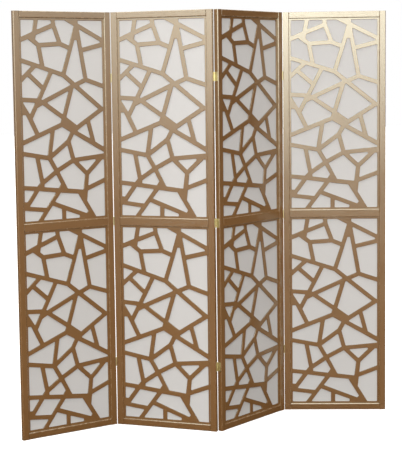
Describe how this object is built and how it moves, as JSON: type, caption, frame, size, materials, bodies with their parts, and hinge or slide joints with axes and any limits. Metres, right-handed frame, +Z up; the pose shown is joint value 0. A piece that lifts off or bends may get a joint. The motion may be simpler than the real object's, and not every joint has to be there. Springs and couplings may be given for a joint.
{
  "type": "folding partition screen",
  "caption": "Folding room divider of hinged upright panels, each a painted frame holding pierced lattices backed by a translucent sheet.",
  "frame": {"origin": "on the floor, at the middle of the footprint of the screen as it stands in its zigzag", "axes": "+Z up; +X along the run of the screen, from panel 1 to panel 4; the fronts face towards -Y"},
  "size_m": [1.6438, 0.2688, 1.778],
  "materials": {
    "painted_frame": "satin gold-bronze paint on wood",
    "painted_lattice": "satin gold-bronze paint on thin board",
    "sheet": "matt off-white non-woven sheet",
    "hinge_brass": "brass plated, semi-bright"
  },
  "bodies": {
    "panel_1": {"panel_1_left_stile": "painted_frame", "panel_1_right_stile": "painted_frame", "panel_1_bottom_rail": "painted_frame", "panel_1_mid_rail": "painted_frame", "panel_1_top_rail": "painted_frame", "panel_1_lower_lattice": "painted_lattice", "panel_1_upper_lattice": "painted_lattice", "panel_1_lower_sheet": "sheet", "panel_1_upper_sheet": "sheet", "panel_1_lower_beads": "painted_frame", "panel_1_upper_beads": "painted_frame", "fold_1_left_leaves": "hinge_brass"},
    "panel_2": {"panel_2_left_stile": "painted_frame", "panel_2_right_stile": "painted_frame", "panel_2_bottom_rail": "painted_frame", "panel_2_mid_rail": "painted_frame", "panel_2_top_rail": "painted_frame", "panel_2_lower_lattice": "painted_lattice", "panel_2_upper_lattice": "painted_lattice", "panel_2_lower_sheet": "sheet", "panel_2_upper_sheet": "sheet", "panel_2_lower_beads": "painted_frame", "panel_2_upper_beads": "painted_frame", "fold_1_right_leaves": "hinge_brass", "fold_2_left_leaves": "hinge_brass"},
    "panel_3": {"panel_3_left_stile": "painted_frame", "panel_3_right_stile": "painted_frame", "panel_3_bottom_rail": "painted_frame", "panel_3_mid_rail": "painted_frame", "panel_3_top_rail": "painted_frame", "panel_3_lower_lattice": "painted_lattice", "panel_3_upper_lattice": "painted_lattice", "panel_3_lower_sheet": "sheet", "panel_3_upper_sheet": "sheet", "panel_3_lower_beads": "painted_frame", "panel_3_upper_beads": "painted_frame", "fold_2_right_leaves": "hinge_brass", "fold_3_left_leaves": "hinge_brass"},
    "panel_4": {"panel_4_left_stile": "painted_frame", "panel_4_right_stile": "painted_frame", "panel_4_bottom_rail": "painted_frame", "panel_4_mid_rail": "painted_frame", "panel_4_top_rail": "painted_frame", "panel_4_lower_lattice": "painted_lattice", "panel_4_upper_lattice": "painted_lattice", "panel_4_lower_sheet": "sheet", "panel_4_upper_sheet": "sheet", "panel_4_lower_beads": "painted_frame", "panel_4_upper_beads": "painted_frame", "fold_3_right_leaves": "hinge_brass"}
  },
  "joints": [
    {"name": "fold_1", "type": "hinge", "parent": "panel_2", "child": "panel_1", "pos_m": [-0.38632, 0.11632, 0], "axis": [0, 0, 1], "range_deg": [-51.5, 128.5]},
    {"name": "fold_2", "type": "hinge", "parent": "panel_2", "child": "panel_3", "pos_m": [0, -0.11978, 0], "axis": [0, 0, 1], "range_deg": [-68, 112]},
    {"name": "fold_3", "type": "hinge", "parent": "panel_3", "child": "panel_4", "pos_m": [0.38632, 0.11632, 0], "axis": [0, 0, 1], "range_deg": [-128.5, 51.5]}
  ]
}
